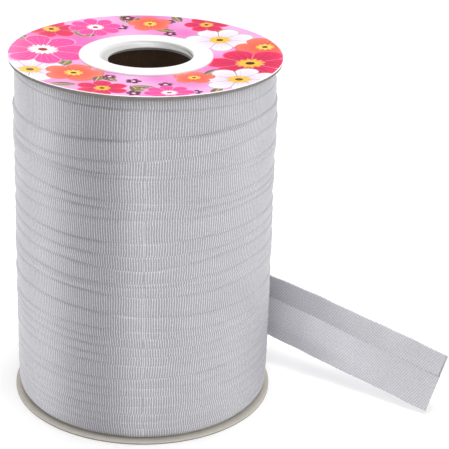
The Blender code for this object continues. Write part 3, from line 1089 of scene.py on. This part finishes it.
# The fold: slack inside the bend, and half the parting between the two flaps at the seam
FOLD_SLACK = 0.03
PARTING = 0.03

# Points along the strip, and how far the cloth, the short flap and the long flap are cut back
WOUND_POINTS = 28
HANGING_POINTS = 87
CUT_BACK = (0.0, 0.45, 0.1)

# A flap's raw edge stands off over RAW_WIDTH, and more from CUT_END_FROM on
RAW_WIDTH = 5.0
RAW_LIFT = 0.03
RAW_WAVE = 0.23
CUT_END_LIFT = 0.3
CUT_END_FROM = 70.0
CUT_END_RISE = 16.0

# Where the strip bends along its seam: start, rise, end and fall, by distance. The slope to each
# side of the seam, and the curl of the low edge beyond CURL_FROM from the seam.
BEND_SPAN = (8.0, 14.0, 38.0, 34.0)
BEND_SLOPE = 0.2
CURL = 0.7
CURL_FROM = 7.0
CURL_RISE = 5.0

# Sways of the strip across its run: reach, turn per mm, start
SWAYS = ((0.08, 0.19, 1.0), (0.05, 0.53, 0.0))


def lean_at(distance):
    """How far the strip leans back, in degrees, on a smooth curve through the listed leans."""
    stops, values = np.array(LEANS).T
    slopes = np.gradient(values, stops)
    slopes[0] = 0.0
    return smooth_curve(stops, values, slopes, distance)


def strip_frame(distance):
    """Centre, across direction and outward normal of the strip, from where it leaves."""
    leave, sink = math.radians(LEAVE_ANGLE), math.radians(SINK)
    centre = Vector((WRAP_R * math.cos(leave), WRAP_R * math.sin(leave), LEAVE_Z))
    level = Vector((math.sin(leave), -math.cos(leave), 0.0))
    if distance < 0.0:
        turn = leave - distance / WRAP_R
        outward = Vector((math.cos(turn), math.sin(turn), 0.0))
        centre = outward * WRAP_R + Vector((0.0, 0.0, LEAVE_Z - distance * math.tan(sink)))
        return centre, Vector((0.0, 0.0, 1.0)), outward
    along = level * math.cos(sink) - Vector((0.0, 0.0, math.sin(sink)))
    outward = Vector((-level.y, level.x, 0.0))
    upright = outward.cross(along)
    upright = upright if upright.z > 0.0 else -upright
    lean = math.radians(lean_at(distance))
    across = upright * math.cos(lean) + outward * math.sin(lean)
    normal = outward * math.cos(lean) - upright * math.sin(lean)
    return centre + along * distance, across, normal


def fold_section(settings):
    """The folded cloth's middle line: (across, through, run along the cloth, flap) points."""
    thickness = settings.cloth_thickness / MM
    bend = thickness / 2.0 + FOLD_SLACK
    half = TAPE_WIDTH / 2.0
    end = half - thickness / 2.0 - bend
    seam = half - settings.seam_share * TAPE_WIDTH
    half_turn = arc(0.0, 0.0, bend, -90.0, 90.0, 7)[1:-1]
    line = [(x, -bend, 1) for x in np.linspace(seam + PARTING, end, 9)]
    line += [(end + x, y, 0) for x, y in half_turn]
    line += [(x, bend, 0) for x in np.linspace(end, -end, 22)]
    line += [(-end - x, -y, 0) for x, y in half_turn]
    line += [(x, -bend, 2) for x in np.linspace(-end, seam - PARTING, 14)]
    run = [0.0]
    for (x0, y0, _), (x1, y1, _) in zip(line, line[1:]):
        run.append(run[-1] + math.hypot(x1 - x0, y1 - y0))
    return [(x, y, s, flap) for (x, y, flap), s in zip(line, run)]


def flap_lift(distance, off_seam, flap):
    """How far a point of the strip lies back, on the side of its flaps."""
    # A flap's raw edge stands off a little, most at the cut end
    raw = max(0.0, 1.0 - abs(off_seam) / RAW_WIDTH) if flap else 0.0
    cut_end = CUT_END_LIFT * smoothstep((distance - CUT_END_FROM) / CUT_END_RISE)
    lift = raw * (RAW_LIFT + RAW_LIFT * math.sin(distance * RAW_WAVE) + cut_end)
    # Past the winding the strip bends a little along the seam, and straightens further out
    bend = rise_and_fall(distance, *BEND_SPAN)
    curl = smoothstep((-off_seam - CURL_FROM) / CURL_RISE)
    return lift + bend * (BEND_SLOPE * abs(off_seam) - CURL * curl)


def hang_loose_end(settings):
    """The folded strip: a grid bent to the fold's section, then swept along its path."""
    section = fold_section(settings)
    wrap = math.radians(WRAP_ANGLE) * WRAP_R
    wound = np.linspace(-wrap, 0.0, WOUND_POINTS)[:-1]
    stations = np.concatenate([wound, np.linspace(0.0, RUN_LENGTH, HANGING_POINTS)])
    across_n, along_n = len(section) - 1, len(stations) - 1
    select_none()
    bpy.ops.mesh.primitive_grid_add(x_subdivisions=across_n, y_subdivisions=along_n, size=1.0)
    obj = bpy.context.object
    obj.name = obj.data.name = "loose_tape_end"
    flat = read_points(obj) * MM
    place_across = np.rint((flat[:, 0] + 0.5) * across_n).astype(int)
    place_along = np.rint((flat[:, 1] + 0.5) * along_n).astype(int)
    seam = section[0][0]
    points = np.empty_like(flat)
    for n, (i, k) in enumerate(zip(place_across, place_along)):
        across_mm, through, _, flap = section[i]
        distance = stations[k] - (CUT_BACK[flap] if k == along_n else 0.0)
        centre, across, normal = strip_frame(distance)
        lift = flap_lift(distance, across_mm - seam, flap)
        sway = sum(reach * math.sin(distance * turn + start) for reach, turn, start in SWAYS)
        spot = centre + across * (across_mm + sway) + normal * (through - lift)
        points[n] = (spot.x + AXIS_X, spot.y, spot.z)
    write_points(obj, points)
    while obj.data.uv_layers:
        obj.data.uv_layers.remove(obj.data.uv_layers[0])
    corner = corner_points(obj)
    runs = np.array([s for _, _, s, _ in section])
    lay_weave(obj, stations[place_along[corner]], runs[place_across[corner]])
    shell = obj.modifiers.new("Cloth", "SOLIDIFY")
    shell.thickness = settings.cloth_thickness
    shell.offset = 0.0
    shell.use_even_offset = True
    apply_modifiers(obj)
    finish_mesh(obj, sharp=60.0)
    return obj


# Operators


class WindTape(bpy.types.Operator):
    """Makes the wound tape with its overlapping folded edges"""

    bl_idname = "bias_tape.wind_tape"
    bl_label = "Wind the tape"

    def execute(self, context):
        obj = wind_tape(context.scene.bias_tape_winding)
        cloth = rib_weave(
            "woven polyester tape", context.scene.bias_tape_cloth, rib_lustre=0.96,
            furrow_lustre=0.35, stretch=1.0, turn=0.0, rib_tone=0.66, pick_tone=0.03, level=1.0,
        )
        dress(obj, cloth)
        place(obj, "tape_cloth", "wound_tape")
        return {"FINISHED"}


class HangLooseEnd(bpy.types.Operator):
    """Makes the loose end of the tape, folded as single-fold tape is"""

    bl_idname = "bias_tape.hang_loose_end"
    bl_label = "Hang the loose end"

    def execute(self, context):
        obj = hang_loose_end(context.scene.bias_tape_loose_end)
        # The side with the flaps isn't calendered, so it is duller than the winding's face. Its colour
        # is painted lighter than the same cloth on the winding, painted light.
        cloth = rib_weave(
            "woven polyester tape, flap side", context.scene.bias_tape_cloth, rib_lustre=0.55,
            furrow_lustre=0.55, stretch=0.8, turn=24.0, rib_tone=0.26, pick_tone=0.12, level=1.13,
        )
        dress(obj, cloth)
        place(obj, "tape_cloth", "loose_end")
        return {"FINISHED"}


class PrintLabel(bpy.types.Operator):
    """Makes the printed label on the top flange"""

    bl_idname = "bias_tape.print_label"
    bl_label = "Print the label"

    def execute(self, context):
        top, low = LABEL_RIM_Z, LABEL_RIM_Z - LABEL_T
        inner = BORE_R + 0.2
        curl = 0.08
        profile = [(inner, low - DISH), (HUB_R, low - DISH), (SPOOL_R - 0.02, low)]
        profile += arc(SPOOL_R - curl, top - curl, curl, 0.0, 90.0, 5)
        for share in (0.8, 0.6, 0.4, 0.2):
            r = HUB_R + (SPOOL_R - HUB_R) * share
            profile.append((r, top - flange_drop(r)))
        profile += [(HUB_R, top - DISH), (inner, top - DISH)]
        obj = turned("printed_label", profile, ROUND_STEPS)
        dress(obj, printed_paper(context.scene.bias_tape_label))
        place(obj, "label_paper", "label_disc")
        return {"FINISHED"}


# The cards' rounded rims, how far in the board's rim lies, and where the bottom flange's side
# turns from its dark cut, partly painted shade, to its face
CARD_ROUND = 0.16
BOARD_INSET = 0.2
FOOT_CUT_TOP = 0.45


def card_rim(rim, low, top):
    """Profile of a card's rounded rim, from its underside to its face."""
    centre = rim - CARD_ROUND
    under = arc(centre, low + CARD_ROUND, CARD_ROUND, -90.0, 0.0, 5)
    return under + arc(centre, top - CARD_ROUND, CARD_ROUND, 0.0, 90.0, 5)


class CutCards(bpy.types.Operator):
    """Makes the two flanges and gives the tube its paper"""

    bl_idname = "bias_tape.cut_cards"
    bl_label = "Cut the cards"

    def execute(self, context):
        settings = context.scene.bias_tape_cards
        profile = [(BORE_R, 0.0), (SPOOL_R - 2.0, 0.0), *card_rim(SPOOL_R, 0.0, FOOT_T)]
        profile += [(SPOOL_R - 1.2, FOOT_T), (BORE_R, FOOT_T)]
        foot = turned("foot_card", profile, ROUND_STEPS)
        dress(foot, paper_card(
            "grey-beige paperboard", settings.foot, fibre_mm=1.4, contrast=0.05, roughness=0.7,
            cut_below=FOOT_CUT_TOP,
        ))
        place(foot, "foot_card", "bottom_flange")
        # The board reaches up to just below the label glued on it, which hides its top
        top, low = LABEL_RIM_Z - LABEL_T - GLUE, BOARD_RIM_Z - BOARD_T
        profile = [(BORE_R, low - DISH), (HUB_R, low - DISH)]
        profile += card_rim(SPOOL_R - BOARD_INSET, low, top)
        profile += [(HUB_R, top - DISH), (BORE_R, top - DISH)]
        board = turned("top_board", profile, ROUND_STEPS)
        dress(board, paper_card(
            "grey chipboard", settings.board, fibre_mm=0.7, contrast=0.16, roughness=0.85,
        ))
        place(board, "top_card", "top_flange")
        dress(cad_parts["core_tube"], paper_card(
            "brown tube paper", settings.tube, fibre_mm=0.9, contrast=0.14, roughness=0.9,
        ))
        return {"FINISHED"}


# The collar: its crown over the face, its rounded rim and mouth, then its throat as radius and
# depth below the crown, which narrows from the mouth and widens again behind its lip
COLLAR_STEPS = 160
CROWN_RISE = 0.1
COLLAR_ROUND = 0.35
MOUTH_ROUND = 0.55
MOUTH_R = 14.13
THROAT = (
    (13.95, 0.9), (13.6, 1.15), (13.2, 1.5), (12.75, 1.8), (12.6, 2.0), (12.6, 2.15),
    (13.4, 2.2), (13.5, 3.0), (NECK_R, 3.0),
)

# The throat stands to the right of the mouth, from a depth of 0.5 mm and in full 1.5 mm below
THROAT_SHIFT = 1.2
SHIFT_FROM = 0.5
SHIFT_RISE = 1.5


class MouldCollar(bpy.types.Operator):
    """Makes the white plastic collar with its off-centre throat"""

    bl_idname = "bias_tape.mould_collar"
    bl_label = "Mould the collar"

    def execute(self, context):
        seat = LABEL_RIM_Z - DISH + GLUE
        face = CROWN_Z - CROWN_RISE
        profile = [(NECK_R, seat), (HUB_R, seat)]
        profile += arc(HUB_R - COLLAR_ROUND, face - COLLAR_ROUND, COLLAR_ROUND, 0.0, 90.0, 7)
        profile += [(19.0, face + 0.03), (17.2, CROWN_Z), (15.6, CROWN_Z)]
        profile += arc(MOUTH_R + MOUTH_ROUND, CROWN_Z - MOUTH_ROUND, MOUTH_ROUND, 90.0, 180.0, 7)
        profile += [(r, CROWN_Z - depth) for r, depth in THROAT]
        obj = spun("hub_collar_moulded", profile, COLLAR_STEPS)
        # The throat is off centre, as a slightly tilted neck looks
        points = read_points(obj)
        away = np.hypot(points[:, 0], points[:, 1])
        deep = smoothstep((CROWN_Z - SHIFT_FROM - points[:, 2]) / SHIFT_RISE)
        points[:, 0] += THROAT_SHIFT * (deep * (away < NECK_R - 0.03))
        write_points(obj, points)
        onto_axis(obj)
        finish_mesh(obj)
        dress(obj, moulded_plastic(context.scene.bias_tape_collar))
        place(obj, "collar_plastic", "hub_collar")
        return {"FINISHED"}


# The camera, in the photograph's 449 pixel frame: where it stands from the spool's axis, in mm
IMAGE_SIZE = 449
FOCAL_PIXELS = 1494.2
CAMERA_SPOT = (0.0, -428.7, 240.8)
CAMERA_PITCH = 23.40
CAMERA_YAW = 3.34
CAMERA_ROLL = 1.89

# Soft boxes round the spool, by the bearings and the elevations that each one spans. The dark gap
# between the left boxes and the front ones draws the dark upright zone on the sheen of the cloth.
BOX_DISTANCE = 700.0
SPOOL_MIDDLE_Z = 55.0
SOFT_BOXES = (
    # name, from bearing, to bearing, from elevation, to elevation, radiance
    ("back_left", -172.0, -108.0, -4.0, 42.0, 1.2),
    ("left", -107.0, -81.0, -4.0, 42.0, 1.9),
    ("left_front", -80.0, -62.0, -4.0, 16.0, 1.25),
    ("left_edge", -61.0, -45.0, -4.0, 16.0, 0.7),
    ("front", -15.0, 1.0, -4.0, 16.0, 0.9),
    ("front_middle", -15.0, 1.0, 17.0, 42.0, 1.9),
    ("front_right", 2.0, 30.0, -4.0, 42.0, 0.8),
    ("right_front", 30.0, 60.0, -4.0, 42.0, 1.4),
    ("right", 60.0, 85.0, -4.0, 42.0, 1.4),
    ("right_side", 85.0, 120.0, -4.0, 42.0, 1.45),
    ("back_right", 120.0, 165.0, -4.0, 42.0, 1.05),
    ("back_left_high", -160.0, -120.0, 44.0, 74.0, 0.5),
    ("front_high", -20.0, 15.0, 44.0, 74.0, 2.4),
    ("right_high", 15.0, 50.0, 44.0, 74.0, 0.5),
    ("side_high", 90.0, 130.0, 44.0, 74.0, 0.5),
    ("back_high", 130.0, 170.0, 44.0, 74.0, 0.4),
    ("overhead", -20.0, 20.0, 75.0, 105.0, 9.2),
)

# A box high up is narrower than its bearings say, but keeps this share of their width
LEAST_NARROWING = 0.5

FLOOR_SIZE_M = 12.0
SENSOR_MM = 36.0
FAR_CLIP_M = 20.0


def set_camera():
    """Sets up the camera where it stood for the photograph."""
    data = bpy.data.cameras.new("camera")
    data.sensor_width = SENSOR_MM
    data.lens = FOCAL_PIXELS * data.sensor_width / IMAGE_SIZE
    data.clip_end = FAR_CLIP_M
    pitch, yaw, roll = (math.radians(a) for a in (CAMERA_PITCH, CAMERA_YAW, CAMERA_ROLL))
    ahead = Vector((math.sin(yaw) * math.cos(pitch), math.cos(yaw) * math.cos(pitch), -math.sin(pitch)))
    right = ahead.cross(Vector((0.0, 0.0, 1.0))).normalized()
    up = right.cross(ahead)
    rolled = right * math.cos(roll) + up * math.sin(roll)
    rolled_up = up * math.cos(roll) - right * math.sin(roll)
    camera = bpy.data.objects.new("camera", data)
    bpy.context.scene.collection.objects.link(camera)
    turn = Matrix((rolled, rolled_up, -ahead)).transposed().to_4x4()
    spot = Vector((CAMERA_SPOT[0] + AXIS_X, CAMERA_SPOT[1], CAMERA_SPOT[2])) * MM
    camera.matrix_world = Matrix.Translation(spot) @ turn
    bpy.context.scene.camera = camera


def add_soft_box(name, bearing_from, bearing_to, low, high, radiance):
    """A soft box that spans these bearings and elevations and faces the spool's middle."""
    target = Vector((AXIS_X, 0.0, SPOOL_MIDDLE_Z)) * MM
    b = math.radians(bearing_from + bearing_to) / 2.0
    e = math.radians(low + high) / 2.0
    away = Vector((math.sin(b) * math.cos(e), -math.cos(b) * math.cos(e), math.sin(e)))
    reach = 2.0 * BOX_DISTANCE * MM
    data = bpy.data.lights.new(name, "AREA")
    data.shape = "RECTANGLE"
    width = reach * math.tan(math.radians(bearing_to - bearing_from) / 2.0)
    data.size = width * max(math.cos(e), LEAST_NARROWING)
    data.size_y = reach * math.tan(math.radians(high - low) / 2.0)
    data.energy = radiance * math.pi * data.size * data.size_y
    light = bpy.data.objects.new(name, data)
    bpy.context.scene.collection.objects.link(light)
    light.location = target + away * BOX_DISTANCE * MM
    light.rotation_euler = (-away).to_track_quat("-Z", "Y").to_euler()
    light.visible_camera = False


class SetStage(bpy.types.Operator):
    """Sets the floor, the soft lights and the camera"""

    bl_idname = "bias_tape.set_stage"
    bl_label = "Set the stage"

    def execute(self, context):
        settings = context.scene.bias_tape_stage
        select_none()
        bpy.ops.mesh.primitive_plane_add(size=FLOOR_SIZE_M)
        floor = bpy.context.object
        floor.name = floor.data.name = "floor"
        paint = paper_card(
            "matt white floor paint", settings.floor, fibre_mm=30.0, contrast=0.004,
            roughness=0.9,
        )
        # The table is lit from beneath a little, as tables for catalogue photographs are
        glow = paint.node_tree.nodes["Principled BSDF"]
        glow.inputs["Emission Color"].default_value = (1.0, 1.0, 1.0, 1.0)
        glow.inputs["Emission Strength"].default_value = settings.table_glow
        dress(floor, paint)
        world = bpy.data.worlds.new("even light")
        world.use_nodes = True
        background = world.node_tree.nodes["Background"]
        background.inputs["Color"].default_value = (1.0, 1.0, 1.0, 1.0)
        background.inputs["Strength"].default_value = settings.sky
        context.scene.world = world
        for box in SOFT_BOXES:
            add_soft_box(*box)
        set_camera()
        context.scene.view_settings.view_transform = "Standard"
        return {"FINISHED"}


class BiasTapePanel(bpy.types.Panel):
    """Lists the steps that make the roll, and their settings"""

    bl_idname = "VIEW3D_PT_bias_tape"
    bl_label = "Roll of bias tape"
    bl_space_type = "VIEW_3D"
    bl_region_type = "UI"
    bl_category = "Bias tape"

    def draw(self, context):
        for step in STEPS:
            self.layout.operator(step.bl_idname)
        for name, kind in SETTINGS:
            group = getattr(context.scene, name)
            box = self.layout.box()
            box.label(text=kind.__doc__)
            for key in kind.__annotations__:
                box.prop(group, key)


SETTINGS = (
    ("bias_tape_winding", WindingSettings),
    ("bias_tape_cloth", ClothSettings),
    ("bias_tape_loose_end", LooseEndSettings),
    ("bias_tape_label", LabelSettings),
    ("bias_tape_cards", CardSettings),
    ("bias_tape_collar", CollarSettings),
    ("bias_tape_stage", StageSettings),
)
STEPS = (WindTape, HangLooseEnd, PrintLabel, CutCards, MouldCollar, SetStage)


def register():
    """Registers the settings, the operators and the panel."""
    for name, kind in SETTINGS:
        bpy.utils.register_class(kind)
        setattr(bpy.types.Scene, name, bpy.props.PointerProperty(type=kind))
    for kind in (*STEPS, BiasTapePanel):
        bpy.utils.register_class(kind)


def unregister():
    """Takes everything that register adds away again."""
    for kind in (BiasTapePanel, *reversed(STEPS)):
        bpy.utils.unregister_class(kind)
    for name, kind in reversed(SETTINGS):
        delattr(bpy.types.Scene, name)
        bpy.utils.unregister_class(kind)


def main():
    """Makes the roll and its stage, step by step."""
    register()
    bpy.ops.bias_tape.wind_tape()
    bpy.ops.bias_tape.hang_loose_end()
    bpy.ops.bias_tape.print_label()
    bpy.ops.bias_tape.cut_cards()
    bpy.ops.bias_tape.mould_collar()
    bpy.ops.bias_tape.set_stage()


if __name__ == "__main__":
    main()
